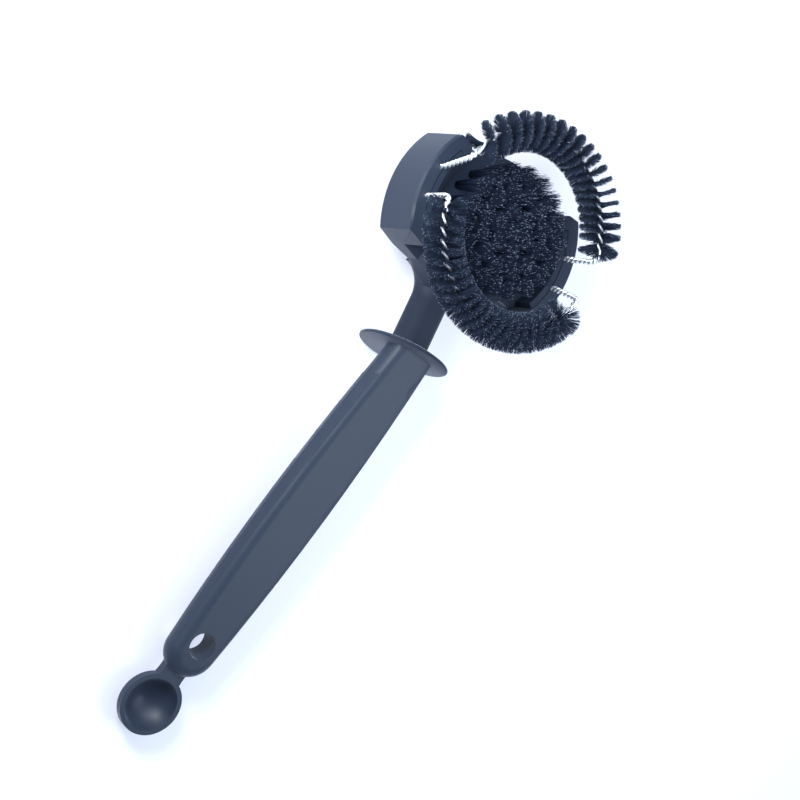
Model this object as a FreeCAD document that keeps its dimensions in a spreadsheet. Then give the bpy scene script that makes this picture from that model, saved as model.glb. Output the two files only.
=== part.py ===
"""Group head brush: a moulded handle with scoop, splash guard and drum head, a round plate of
stiff tufts, and two arcs of twisted-in-wire bristle for the ring-shaped gasket groove.

Everything is first placed in the brush's own axes: +X to the right-hand side wall, +Y away
from the handle in the plane of the head, +Z the way the tufts point, with the origin at the
middle of the drum's back face. At the end the whole brush is laid down on its back, with
+X from the scoop to the head and +Z up.
"""
import FreeCAD, Part
import math
import os
import Sketcher
from FreeCAD import Placement, Rotation, Vector

os.makedirs("parts", exist_ok=True)
doc = FreeCAD.newDocument("group_head_brush")

# Driving dimensions in millimetres and degrees
SIZES = {
    # drum and side walls
    "drum_lip": 1.7,
    "drum_draft": 1.4,
    "drum_edge": 1.5,
    "deck_height": 12.0,
    "wall_gap": 2.7,
    "wall_thickness": 8.0,
    "wall_height": 18.2,
    "wall_near": 19.0,
    "wall_near_slant": 15.0,
    "wall_far": 21.3,
    "wall_corner": 2.5,
    "wall_edge": 0.8,
    "shoulder_half": 15.5,
    "shoulder_near": 22.4,
    "shoulder_reach": 26.0,
    # tuft plate, tufts and anchors
    "plate_rim": 2.55,
    "plate_thickness": 4.0,
    "seat_clearance": 0.1,
    "tuft_pitch": 7.0,
    "tuft_root_radius": 1.2,
    "tuft_tip_radius": 2.65,
    "tuft_tip_height": 29.0,
    "hole_radius": 1.45,
    "hole_depth": 3.2,
    "anchor_length": 2.6,
    "anchor_width": 0.4,
    "anchor_height": 0.9,
    # clamps that pinch the wire legs
    "clamp_thickness": 2.3,
    "clamp_half_angle": 29.0,
    "clamp_groove": 0.35,
    "clamp_depth": 11.0,
    "leg_fit": 0.05,
    # twisted wires and their bristles
    "wire_radius": 1.1,
    "socket_clearance": 0.05,
    "socket_depth": 9.0,
    "leg_middle": 0.9,
    "leg_spacing": 12.1,
    "leg_straight": 1.0,
    "leg_bend": 5.0,
    "ring_offset": 5.1,
    "ring_height": 33.0,
    "ring_splay": 0.15,
    "corner_bend": 2.4,
    "far_left_lean": 3.8,
    "far_right_lean": 0.3,
    "near_left_lean": 0.3,
    "near_right_lean": 3.0,
    "bristle_radius": 7.2,
    "bristle_root": 0.7,
    "bristle_tip": 1.3,
    "bristle_pitch": 9.4,
    "bristle_sides": 8,
    "bristle_fit": 0.05,
    "bristle_end_gap": 1.6,
    # neck and splash guard
    "neck_half_width": 6.9,
    "neck_thickness": 11.0,
    "neck_middle": -0.7,
    "neck_round": 4.7,
    "neck_flare": 9.0,
    "neck_foot": 1.5,
    "neck_ramp_start": 4.6,
    "neck_ramp_stop": 3.9,
    "guard_distance": 51.8,
    "guard_drop": 1.5,
    "guard_radius": 17.4,
    "guard_thickness": 1.3,
    "guard_edge": 0.4,
    # grip
    "grip_tilt": 19.5,
    "grip_rise": 2.2,
    "grip_start": -4.0,
    "grip_top_half": 9.1,
    "grip_end_half": 10.1,
    "grip_side_radius": 905.0,
    "grip_end_centre": 132.8,
    "grip_thickness": 10.6,
    "grip_round": 4.9,
    "hang_hole_distance": 128.1,
    "hang_hole_radius": 5.3,
    # scoop and web
    "scoop_distance": 156.4,
    "scoop_rise": 0.7,
    "scoop_radius": 12.2,
    "scoop_wall": 1.8,
    "scoop_step": 0.6,
    "scoop_collar": 3.0,
    "scoop_depth": 9.6,
    "scoop_floor": 1.6,
    "web_half_width": 4.9,
    "web_end_half": 5.4,
    "web_thickness": 3.4,
}

sheet = doc.addObject("Spreadsheet::Sheet", "sizes")
for row, (word, value) in enumerate(SIZES.items(), start=1):
    sheet.set(f"A{row}", word)
    sheet.set(f"B{row}", str(value))
    sheet.setAlias(f"B{row}", word)
doc.recompute()


def size(word):
    """The value of one driving dimension."""
    return float(sheet.get(word))


def value_of(expression):
    """The number that an expression on the sheet gives."""
    return float(getattr(sheet.evalExpression(expression), "Value", sheet.evalExpression(expression)))


# Radii that follow from the rings of tufts outwards: tuft plate, rim and foot of the drum,
# inner and outer face of the side walls, middle of the wire legs, bristle arcs
PLATE_RADIUS = "(3 * sizes.tuft_pitch + sizes.hole_radius + sizes.plate_rim)"
RIM_RADIUS = f"({PLATE_RADIUS} + sizes.seat_clearance + sizes.drum_lip)"
DRUM_RADIUS = f"({RIM_RADIUS} + sizes.drum_draft)"
WALL_INNER = f"({DRUM_RADIUS} + sizes.wall_gap)"
WALL_OUTER = f"({WALL_INNER} + sizes.wall_thickness)"
LEG_RADIUS = f"({WALL_INNER} + sizes.clamp_thickness + sizes.leg_fit + sizes.wire_radius)"
RING_RADIUS = f"({WALL_INNER} + sizes.ring_offset)"


def new_body(name):
    return doc.addObject("PartDesign::Body", name)


def plane_of(body, role):
    """One of a body's own origin planes, such as XY_Plane."""
    return next(item for item in body.Origin.OriginFeatures if item.Role == role)


def outline(body, name, plane, corners, radii=None, offset="0"):
    """A closed sketch through corners, each an (x, y) pair of expressions. radii maps the
    index of a side to (radius expression, arc centre) where that side is an arc."""
    radii = radii or {}
    sketch = body.newObject("Sketcher::SketchObject", name)
    sketch.AttachmentSupport = [(plane_of(body, plane), "")]
    sketch.MapMode = "FlatFace"
    if offset != "0":
        sketch.setExpression("AttachmentOffset.Base.z", offset)
    points = [Vector(value_of(x), value_of(y), 0) for x, y in corners]
    count = len(points)
    ends = {}
    for side in range(count):
        start, end = points[side], points[(side + 1) % count]
        ends[side] = (1, 2)
        if side not in radii:
            sketch.addGeometry(Part.LineSegment(start, end))
            continue
        centre = Vector(*radii[side][1], 0)
        # an arc runs counter-clockwise, so a hollow side starts at its far corner
        if (start - centre).cross(end - centre).z < 0:
            start, end = end, start
            ends[side] = (2, 1)
        circle = Part.Circle(centre, Vector(0, 0, 1), (start - centre).Length)
        angles = [math.atan2(point.y - centre.y, point.x - centre.x) for point in (start, end)]
        sketch.addGeometry(Part.ArcOfCircle(circle, *angles))
    for side in range(count):
        following = (side + 1) % count
        sketch.addConstraint(
            Sketcher.Constraint("Coincident", side, ends[side][1], following, ends[following][0])
        )
    for side, (x, y) in enumerate(corners):
        for kind, expression, value in (("DistanceX", x, points[side].x), ("DistanceY", y, points[side].y)):
            index = sketch.addConstraint(Sketcher.Constraint(kind, -1, 1, side, ends[side][0], value))
            sketch.setExpression(f"Constraints[{index}]", expression)
    for side, (expression, _) in radii.items():
        index = sketch.addConstraint(Sketcher.Constraint("Radius", side, value_of(expression)))
        sketch.setExpression(f"Constraints[{index}]", expression)
    return sketch


def circles(body, name, plane, spots, radius, offset="0"):
    """A sketch of equal circles at spots, each an (x, y) pair of expressions."""
    sketch = body.newObject("Sketcher::SketchObject", name)
    sketch.AttachmentSupport = [(plane_of(body, plane), "")]
    sketch.MapMode = "FlatFace"
    if offset != "0":
        sketch.setExpression("AttachmentOffset.Base.z", offset)
    for number, (x, y) in enumerate(spots):
        centre = Vector(value_of(x), value_of(y), 0)
        sketch.addGeometry(Part.Circle(centre, Vector(0, 0, 1), value_of(radius)))
        for kind, expression, value in (
            ("DistanceX", x, centre.x),
            ("DistanceY", y, centre.y),
        ):
            index = sketch.addConstraint(Sketcher.Constraint(kind, -1, 1, number, 3, value))
            sketch.setExpression(f"Constraints[{index}]", expression)
        index = sketch.addConstraint(Sketcher.Constraint("Radius", number, value_of(radius)))
        sketch.setExpression(f"Constraints[{index}]", radius)
    return sketch


def spin(body, name, sketch, kind="Revolution", angle="360", both_ways=False):
    """A revolution or groove of a sketch about its own vertical axis."""
    feature = body.newObject(f"PartDesign::{kind}", name)
    feature.Profile = sketch
    feature.ReferenceAxis = (sketch, ["V_Axis"])
    feature.setExpression("Angle", angle)
    feature.Midplane = both_ways
    sketch.Visibility = False
    return feature


def extrude(body, name, sketch, length, kind="Pad", both_ways=False, backwards=False):
    """A pad or pocket of a sketch."""
    feature = body.newObject(f"PartDesign::{kind}", name)
    feature.Profile = sketch
    feature.setExpression("Length", length)
    feature.Midplane = both_ways
    feature.Reversed = backwards
    sketch.Visibility = False
    return feature


def edges_of(feature, wanted):
    """Names of the edges of a feature whose middle point passes a test."""
    names = []
    for number, edge in enumerate(feature.Shape.Edges, start=1):
        middle = edge.valueAt((edge.FirstParameter + edge.LastParameter) / 2)
        if wanted(edge, middle):
            names.append(f"Edge{number}")
    return names


def round_edges(body, name, feature, radius, wanted, kind="Fillet"):
    """A fillet or chamfer on the edges of the body's last feature that pass a test."""
    doc.recompute()
    blend = body.newObject(f"PartDesign::{kind}", name)
    blend.Base = (feature, edges_of(feature, wanted))
    blend.setExpression("Radius" if kind == "Fillet" else "Size", radius)
    return blend


def head():
    """The drum with its deck, the seat of the tuft plate and the two slotted side walls."""
    body = new_body("head")
    profile = outline(body, "wall_profile", "XZ_Plane", [
        (f"{PLATE_RADIUS} - 0.5", "0"),
        (WALL_OUTER, "0"),
        (WALL_OUTER, "sizes.wall_height - sizes.wall_edge"),
        (f"{WALL_OUTER} - sizes.wall_edge", "sizes.wall_height"),
        (WALL_INNER, "sizes.wall_height"),
        (WALL_INNER, "sizes.deck_height"),
        (f"{PLATE_RADIUS} - 0.5", "sizes.deck_height"),
    ])
    spin(body, "wall_ring", profile)
    reach = f"({WALL_OUTER} + 1)"
    far_window = outline(body, "far_gap", "XY_Plane", [
        (f"-{reach}", "sizes.wall_far"),
        (reach, "sizes.wall_far"),
        (reach, reach),
        (f"-{reach}", reach),
    ])
    extrude(body, "far_cut", far_window, "3 * sizes.wall_height", "Pocket", both_ways=True)
    outer_y = f"({near_line(reach)})"
    inner_y = f"({near_line('sizes.shoulder_reach')})"
    near_window = outline(body, "near_gap", "XY_Plane", [
        (f"-{reach}", f"-{outer_y}"),
        ("-sizes.shoulder_reach", f"-{inner_y}"),
        ("-sizes.shoulder_reach", "-sizes.wall_near"),
        ("sizes.shoulder_reach", "-sizes.wall_near"),
        ("sizes.shoulder_reach", f"-{inner_y}"),
        (reach, f"-{outer_y}"),
        (reach, f"-{reach}"),
        (f"-{reach}", f"-{reach}"),
    ])
    cut = extrude(body, "near_cut", near_window, "3 * sizes.wall_height", "Pocket", both_ways=True)
    round_edges(
        body, "wall_far_corners", cut, "sizes.wall_corner",
        lambda edge, middle: middle.y > size("wall_far") - 0.01
        and abs(edge.tangentAt(edge.FirstParameter).z) > 0.99
        and math.hypot(middle.x, middle.y) > value_of(WALL_INNER) - 0.01,
    )
    drum = outline(body, "drum_profile", "XZ_Plane", [
        ("0", "0"),
        (f"{DRUM_RADIUS} - sizes.drum_edge", "0"),
        (DRUM_RADIUS, "sizes.drum_edge"),
        (RIM_RADIUS, "sizes.deck_height"),
        (f"{PLATE_RADIUS} + sizes.seat_clearance", "sizes.deck_height"),
        (f"{PLATE_RADIUS} + sizes.seat_clearance", "sizes.deck_height - sizes.plate_thickness"),
        ("0", "sizes.deck_height - sizes.plate_thickness"),
    ])
    spin(body, "drum", drum)
    cut_seat(body)
    recess = outline(body, "recess_profile", "XZ_Plane", recess_corners())
    groove_angle = (f"2 * (sizes.clamp_half_angle"
                    f" + sizes.clamp_groove / {WALL_INNER} * 180 / pi)")
    slot = spin(body, "clamp_recess", recess, "Groove", groove_angle, both_ways=True)
    # towards the handle the recess runs out through the end of the wall
    open_recess = outline(body, "open_recess_profile", "XZ_Plane", recess_corners())
    open_slot = spin(body, "open_recess", open_recess, "Groove", "2 * sizes.clamp_half_angle")
    open_slot.Reversed = True
    pair = body.newObject("PartDesign::Mirrored", "clamp_recesses")
    pair.Originals = [slot, open_slot]
    pair.MirrorPlane = (plane_of(body, "YZ_Plane"), [""])
    body.Tip = pair
    spots = []
    for way in ("+", "-"):
        leg_y = f"(sizes.leg_middle {way} sizes.leg_spacing / 2)"
        leg_x = f"sqrt({LEG_RADIUS}^2 - {leg_y}^2)"
        spots += [(leg_x, leg_y), (f"-{leg_x}", leg_y)]
    sockets = circles(body, "socket_outline", "XY_Plane", spots,
                      "sizes.wire_radius + sizes.socket_clearance", offset="sizes.wall_height")
    extrude(body, "sockets", sockets, "sizes.socket_depth", "Pocket")
    doc.recompute()
    return body


def cut_seat(body):
    """A pocket for the tuft plate in the deck."""
    seat = circles(body, f"{body.Name}_seat_outline", "XY_Plane", [("0", "0")],
                   f"({PLATE_RADIUS} + sizes.seat_clearance)", offset="sizes.deck_height")
    extrude(body, f"{body.Name}_seat", seat, "sizes.plate_thickness", "Pocket")


def near_line(x):
    """How far the end face of a side wall stands towards the handle at distance x from the
    middle: the face slants towards the handle as it comes in."""
    corner_x = f"sqrt({WALL_OUTER}^2 - sizes.wall_near^2)"
    return f"sizes.wall_near + ({corner_x} - {x}) * tan(sizes.wall_near_slant)"


def recess_corners():
    """The section of the recess in a side wall: room for the clamp and the groove behind it."""
    outer = f"{WALL_INNER} + sizes.clamp_thickness + sizes.clamp_groove"
    return [
        (f"{WALL_INNER} - 1", "sizes.wall_height - sizes.clamp_depth"),
        (outer, "sizes.wall_height - sizes.clamp_depth"),
        (outer, "sizes.wall_height + 1"),
        (f"{WALL_INNER} - 1", "sizes.wall_height + 1"),
    ]


def shoulders():
    """The ramp that rises from the front of the neck to the deck between the side walls."""
    body = new_body("shoulders")
    inner_y = f"({near_line('sizes.shoulder_reach')})"
    plan = outline(body, "shoulder_plan", "XY_Plane", [
        ("-sizes.shoulder_reach", "-sizes.wall_near + 3"),
        ("-sizes.shoulder_reach", f"-{inner_y}"),
        ("-sizes.shoulder_half", "-sizes.shoulder_near"),
        ("sizes.shoulder_half", "-sizes.shoulder_near"),
        ("sizes.shoulder_reach", f"-{inner_y}"),
        ("sizes.shoulder_reach", "-sizes.wall_near + 3"),
    ])
    extrude(body, "shoulder_block", plan, "sizes.deck_height")
    slope = outline(body, "shoulder_slope", "YZ_Plane", [
        ("-sizes.shoulder_near - 1", "sizes.neck_middle + sizes.neck_thickness / 2"),
        ("-sizes.shoulder_near", "sizes.neck_middle + sizes.neck_thickness / 2"),
        ("-sizes.wall_near + 1", "sizes.deck_height"),
        ("-sizes.wall_near + 1", "2 * sizes.deck_height"),
        ("-sizes.shoulder_near - 1", "2 * sizes.deck_height"),
    ])
    extrude(body, "shoulder_ramp", slope, "4 * sizes.shoulder_reach", "Pocket", both_ways=True)
    cut_seat(body)
    doc.recompute()
    return body


def neck():
    """The flat-fronted neck between splash guard and drum, flared towards both."""
    body = new_body("neck")
    half = "sizes.neck_half_width"
    flare = "sizes.neck_flare"
    start = "(sizes.shoulder_near + sizes.neck_flare)"
    inside = "sizes.shoulder_near - sizes.neck_flare"
    foot = "sizes.neck_foot"
    foot_top = f"(sizes.guard_distance - sqrt({flare}^2 - ({flare} - {foot})^2))"
    corners = [
        (f"-{half} - {foot}", "-sizes.guard_distance"),
        (f"{half} + {foot}", "-sizes.guard_distance"),
        (half, f"-{foot_top}"),
        (half, f"-{start}"),
        (f"{half} + {flare}", "-sizes.shoulder_near"),
        (f"{half} + {flare}", f"-({inside})"),
        (f"-{half} - {flare}", f"-({inside})"),
        (f"-{half} - {flare}", "-sizes.shoulder_near"),
        (f"-{half}", f"-{start}"),
        (f"-{half}", f"-{foot_top}"),
    ]
    centre_x = size("neck_half_width") + size("neck_flare")
    top_y, foot_y = -value_of(start), -value_of(foot_top)
    arcs = {
        1: (flare, (centre_x, foot_y)),
        3: (flare, (centre_x, top_y)),
        7: (flare, (-centre_x, top_y)),
        9: (flare, (-centre_x, foot_y)),
    }
    plan = outline(body, "neck_plan", "XY_Plane", corners, arcs, offset="sizes.neck_middle")
    bar = extrude(body, "neck_bar", plan, "sizes.neck_thickness", both_ways=True)
    round_edges(
        body, "neck_rounds", bar, "sizes.neck_round",
        lambda edge, middle: abs(edge.tangentAt(edge.FirstParameter).z) < 0.01
        and abs(middle.x) > size("neck_half_width") - 0.01
        and middle.y < -size("shoulder_near"),
    )
    # the underside ramps up to the drum's back face
    back = "sizes.neck_middle - sizes.neck_thickness / 2"
    ramp = outline(body, "neck_ramp_profile", "YZ_Plane", [
        ("-sizes.shoulder_near - sizes.neck_ramp_start", back),
        ("-sizes.shoulder_near + sizes.neck_ramp_stop", "0"),
        ("0", "0"),
        ("0", f"{back} - 1"),
        ("-sizes.shoulder_near - sizes.neck_ramp_start", f"{back} - 1"),
    ])
    extrude(body, "neck_underside", ramp, "4 * sizes.shoulder_reach", "Pocket", both_ways=True)
    doc.recompute()
    return body


def splash_guard():
    """The round guard between neck and grip, with a bevelled rim."""
    body = new_body("splash_guard")
    half = "sizes.guard_thickness / 2"
    radius = "sizes.guard_radius"
    edge = "sizes.guard_edge"
    profile = outline(body, "guard_profile", "XZ_Plane", [
        ("0", f"-{half}"),
        (f"{radius} - {edge}", f"-{half}"),
        (radius, f"-{half} + {edge}"),
        (radius, f"{half} - {edge}"),
        (f"{radius} - {edge}", half),
        ("0", half),
    ])
    spin(body, "guard_disc", profile)
    middle = Vector(0, -size("guard_distance"), -size("guard_drop"))
    body.Placement = Placement(middle, Rotation(Vector(1, 0, 0), 90))
    doc.recompute()
    return body


def grip_frame(distance, rise="0"):
    """The placement of a piece on the grip: its Z along the grip, its Y out of the front.
    distance runs down the grip and rise out of its middle plane."""
    turn = Rotation(Vector(1, 0, 0), 90 + size("grip_tilt"))
    out = size("grip_rise") + value_of(rise)
    start = Vector(0, -size("guard_distance"), 0)
    return Placement(start + turn.multVec(Vector(0, out, distance)), turn)


def grip():
    """The long grip: slightly bellied sides, round end and well-rounded edges. Its top end is
    cut off along the middle of the splash guard."""
    body = new_body("grip")
    length = "(sizes.grip_end_centre - sizes.grip_start)"
    lean = (f"(asin({length} / (2 * sizes.grip_side_radius))"
            f" - atan((sizes.grip_end_half - sizes.grip_top_half) / {length}))")
    end_offset = value_of(f"sizes.grip_end_half * tan{lean}")
    corners = [
        ("-sizes.grip_top_half", "sizes.grip_start"),
        ("sizes.grip_top_half", "sizes.grip_start"),
        ("sizes.grip_end_half", "sizes.grip_end_centre"),
        ("-sizes.grip_end_half", "sizes.grip_end_centre"),
    ]
    top = Vector(size("grip_top_half"), size("grip_start"), 0)
    end = Vector(size("grip_end_half"), size("grip_end_centre"), 0)
    chord = end - top
    inward = Vector(-chord.y, chord.x, 0).normalize()
    depth = math.sqrt(size("grip_side_radius") ** 2 - (chord.Length / 2) ** 2)
    middle = (top + end) * 0.5 + inward * depth
    arcs = {
        1: ("sizes.grip_side_radius", (middle.x, middle.y)),
        2: (f"sizes.grip_end_half / cos{lean}", (0, size("grip_end_centre") - end_offset)),
        3: ("sizes.grip_side_radius", (-middle.x, middle.y)),
    }
    front = outline(body, "grip_outline", "XZ_Plane", corners, arcs)
    slab = extrude(body, "grip_slab", front, "sizes.grip_thickness", both_ways=True)
    round_edges(
        body, "grip_rounds", slab, "sizes.grip_round",
        lambda edge, middle: abs(abs(middle.y) - size("grip_thickness") / 2) < 0.01
        and middle.z > size("grip_start") + 0.5,
    )
    side = "sizes.grip_thickness"
    top_cut = outline(body, "grip_top_line", "YZ_Plane", [
        (f"-{side}", f"({side} - sizes.grip_rise) * tan(sizes.grip_tilt)"),
        (f"-{side}", f"-2 * {side}"),
        (side, f"-2 * {side}"),
        (side, f"-({side} + sizes.grip_rise) * tan(sizes.grip_tilt)"),
    ])
    extrude(body, "grip_top", top_cut, "4 * sizes.grip_end_half", "Pocket", both_ways=True)
    body.Placement = grip_frame(0)
    doc.recompute()
    return body


def web():
    """The short hollow-sided web that joins the scoop's rim to the end of the grip."""
    body = new_body("web")
    half = "sizes.web_end_half"
    first = "(sizes.grip_end_centre + sizes.grip_end_half - 3.7)"
    middle_of_rim = "(sizes.scoop_radius - sizes.scoop_wall / 2)"
    last = f"(sizes.scoop_distance - sqrt({middle_of_rim}^2 - {half}^2))"
    hollow = f"({half} - sizes.web_half_width)"
    radius = f"((({last} - {first}) / 2)^2 + {hollow}^2) / (2 * {hollow})"
    corners = [
        (f"-{half}", first),
        (half, first),
        (half, last),
        (f"-{half}", last),
    ]
    centre_x = size("web_half_width") + value_of(radius)
    centre_y = value_of(f"({first} + {last}) / 2")
    arcs = {
        1: (radius, (centre_x, centre_y)),
        2: (middle_of_rim, (0, size("scoop_distance"))),
        3: (radius, (-centre_x, centre_y)),
    }
    plan = outline(body, "web_plan", "XZ_Plane", corners, arcs)
    extrude(body, "web_plate", plan, "sizes.web_thickness", both_ways=True)
    body.Placement = grip_frame(0, "sizes.scoop_rise - sizes.web_thickness / 2")
    doc.recompute()
    return body


# The hollow and the skin of the scoop's bowl are caps of spheres: radius and depth of each
HOLLOW_CAP = ("(sizes.scoop_radius - sizes.scoop_wall)", "(sizes.scoop_depth - sizes.scoop_floor)")
SKIN_CAP = ("(sizes.scoop_radius - sizes.scoop_step)", "(sizes.scoop_depth - sizes.scoop_collar)")


def sphere_of(cap):
    """The radius of the sphere that a cap of given radius and depth belongs to."""
    radius, depth = cap
    return f"({radius}^2 + {depth}^2) / (2 * {depth})"


def scoop():
    """The round scoop, turned about the normal of its rim: collar, step and thin-walled bowl."""
    body = new_body("scoop")
    hollow_floor = "sizes.scoop_floor - sizes.scoop_depth"
    skin_floor = "-sizes.scoop_depth"
    corners = [
        ("0", hollow_floor),
        (HOLLOW_CAP[0], "0"),
        ("sizes.scoop_radius", "0"),
        ("sizes.scoop_radius", "-sizes.scoop_collar"),
        (SKIN_CAP[0], "-sizes.scoop_collar"),
        ("0", skin_floor),
    ]
    hollow, skin = sphere_of(HOLLOW_CAP), sphere_of(SKIN_CAP)
    arcs = {
        0: (hollow, (0, value_of(f"{hollow_floor} + {hollow}"))),
        4: (skin, (0, value_of(f"{skin_floor} + {skin}"))),
    }
    profile = outline(body, "scoop_profile", "XZ_Plane", corners, arcs)
    spin(body, "scoop_bowl", profile)
    place = grip_frame(size("scoop_distance"), "sizes.scoop_rise")
    body.Placement = Placement(place.Base, Rotation(Vector(1, 0, 0), size("grip_tilt")))
    doc.recompute()
    return body


def handle_body():
    """The one-piece moulding, with its hanging hole bored square through the grip."""
    moulding = doc.addObject("Part::MultiFuse", "moulding")
    moulding.Shapes = [head(), shoulders(), neck(), splash_guard(), grip(), web(), scoop()]
    moulding.Refine = True
    bore = doc.addObject("Part::Cylinder", "hanging_hole")
    bore.setExpression("Radius", "sizes.hang_hole_radius")
    bore.setExpression("Height", "2 * sizes.grip_thickness")
    place = grip_frame(size("hang_hole_distance"))
    front = place.Rotation.multVec(Vector(0, 1, 0))
    bore.Placement = Placement(
        place.Base - front * size("grip_thickness"), Rotation(Vector(1, 0, 0), size("grip_tilt"))
    )
    piece = doc.addObject("Part::Cut", "handle_body")
    piece.Base = moulding
    piece.Tool = bore
    return piece


def tuft_spots():
    """Centres of the tufts: one in the middle and three rings of six, twelve and eighteen."""
    spots = [(0.0, 0.0)]
    for ring in (1, 2, 3):
        count = 6 * ring
        for number in range(count):
            angle = 2 * math.pi * number / count
            radius = ring * size("tuft_pitch")
            spots.append((radius * math.cos(angle), radius * math.sin(angle)))
    return spots


def tuft_plate():
    """The round plate that carries the tufts, with a blind eight-sided hole for each."""
    body = new_body("tuft_plate")
    disc = circles(body, "plate_outline", "XY_Plane", [("0", "0")], PLATE_RADIUS,
                   offset="sizes.deck_height - sizes.plate_thickness")
    extrude(body, "plate_disc", disc, "sizes.plate_thickness")
    for ring in (0, 1, 2, 3):
        corners = [
            (f"{ring} * sizes.tuft_pitch + sizes.hole_radius * cos({45 * corner})",
             f"sizes.hole_radius * sin({45 * corner})")
            for corner in range(8)
        ]
        hole = outline(body, f"ring_{ring}_hole", "XY_Plane", corners, offset="sizes.deck_height")
        bore = extrude(body, f"ring_{ring}_bore", hole, "sizes.hole_depth", "Pocket")
        if ring:
            pattern = body.newObject("PartDesign::PolarPattern", f"ring_{ring}_bores")
            pattern.Originals = [bore]
            pattern.Axis = (hole, ["N_Axis"])
            pattern.Angle = 360
            pattern.Occurrences = 6 * ring
            body.Tip = pattern
        doc.recompute()
    return body


def solid_within(facets):
    """A solid bounded by flat facets, each given by its corners."""
    shell = Part.makeShell([Part.Face(Part.makePolygon(tips + [tips[0]])) for tips in facets])
    shell.sewShape()
    solid = Part.makeSolid(shell)
    if solid.Volume < 0:
        solid.reverse()
    return solid


def tufts():
    """One eight-sided bundle of nylon for each hole, which flares from its anchor to its tip."""
    root = size("deck_height") - size("hole_depth") + size("anchor_height")
    rings = []
    for radius, height in (("tuft_root_radius", root), ("tuft_tip_radius", size("tuft_tip_height"))):
        rings.append([
            Rotation(Vector(0, 0, 1), 45 * corner).multVec(Vector(size(radius), 0, 0))
            + Vector(0, 0, height)
            for corner in range(8)
        ])
    low, high = rings
    flanks = [[low[i - 1], low[i], high[i], high[i - 1]] for i in range(8)]
    bundle = solid_within([low, high] + flanks)
    for number, (x, y) in enumerate(tuft_spots(), start=1):
        tuft = doc.addObject("Part::Feature", f"tuft_{number:02d}")
        tuft.Shape = bundle
        tuft.Placement = Placement(
            Vector(x, y, 0), Rotation(Vector(0, 0, 1), math.degrees(math.atan2(y, x)))
        )
        yield tuft


def tuft_anchors():
    """The flat wire anchors that lie across the bottoms of the holes, square to the radius."""
    boxes = []
    floor = size("deck_height") - size("hole_depth")
    for number, (x, y) in enumerate(tuft_spots(), start=1):
        box = doc.addObject("Part::Box", f"anchor_{number:02d}")
        box.setExpression("Length", "sizes.anchor_width")
        box.setExpression("Width", "sizes.anchor_length")
        box.setExpression("Height", "sizes.anchor_height")
        turn = Rotation(Vector(0, 0, 1), math.degrees(math.atan2(y, x)))
        corner = turn.multVec(Vector(-size("anchor_width") / 2, -size("anchor_length") / 2, 0))
        box.Placement = Placement(Vector(x, y, floor) + corner, turn)
        boxes.append(box)
    group = doc.addObject("Part::Compound", "tuft_anchors")
    group.Links = boxes
    return group


def wire_clamp(side):
    """A curved strip that fills the recess of a side wall but for the groove behind it."""
    body = new_body(f"wire_clamp_{side}")
    inner = WALL_INNER
    outer = f"{WALL_INNER} + sizes.clamp_thickness"
    bottom = "sizes.wall_height - sizes.clamp_depth + sizes.leg_fit"
    profile = outline(body, f"clamp_profile_{side}", "XZ_Plane", [
        (inner, bottom),
        (outer, bottom),
        (outer, "sizes.wall_height"),
        (inner, "sizes.wall_height"),
    ])
    spin(body, f"clamp_strip_{side}", profile, angle="2 * sizes.clamp_half_angle", both_ways=True)
    if side == "left":
        body.Placement = Placement(Vector(), Rotation(Vector(0, 0, 1), 180))
    return body


def rounded_run(points, bends):
    """Edges of a path through points, with an arc of the given radius at each inner point."""
    edges = []
    start = points[0]
    for before, corner, after, bend in zip(points, points[1:], points[2:], bends):
        incoming = (corner - before).normalize()
        outgoing = (after - corner).normalize()
        turn = incoming.getAngle(outgoing)
        reach = bend * math.tan(turn / 2)
        first = corner - incoming * reach
        last = corner + outgoing * reach
        towards = (outgoing - incoming).normalize()
        centre = corner + towards * (bend / math.cos(turn / 2))
        middle = centre - towards * bend
        edges.append(Part.LineSegment(start, first).toShape())
        edges.append(Part.Arc(first, middle, last).toShape())
        start = last
    edges.append(Part.LineSegment(start, points[-1]).toShape())
    return edges


def wire_ends(way, leans):
    """For each end of a wire: the points of its leg from the socket's floor to where it
    meets the ring circle, and the angle of that meeting point. way is +1 for the far wire
    and -1 for the near one, and leans are how far its two legs lean towards the arc."""
    ring = value_of(RING_RADIUS)
    corner_radius = ring + size("ring_splay")
    leg_y = size("leg_middle") + way * size("leg_spacing") / 2
    leg_x = math.sqrt(value_of(LEG_RADIUS) ** 2 - leg_y ** 2)
    ends = []
    for side, lean in zip((-1, 1), leans):
        corner_y = leg_y + way * lean
        corner_x = side * math.sqrt(corner_radius ** 2 - corner_y ** 2)
        angle = math.atan2(corner_y, corner_x)
        angle += way * side * math.acos(ring / corner_radius)
        meet = Vector(ring * math.cos(angle), ring * math.sin(angle), size("ring_height"))
        foot = size("wall_height") - size("socket_depth") + size("leg_fit")
        ends.append(([
            Vector(side * leg_x, leg_y, foot),
            Vector(side * leg_x, leg_y, size("wall_height") + size("leg_straight")),
            Vector(corner_x, corner_y, size("ring_height")),
            meet,
        ], angle))
    return ends


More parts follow.
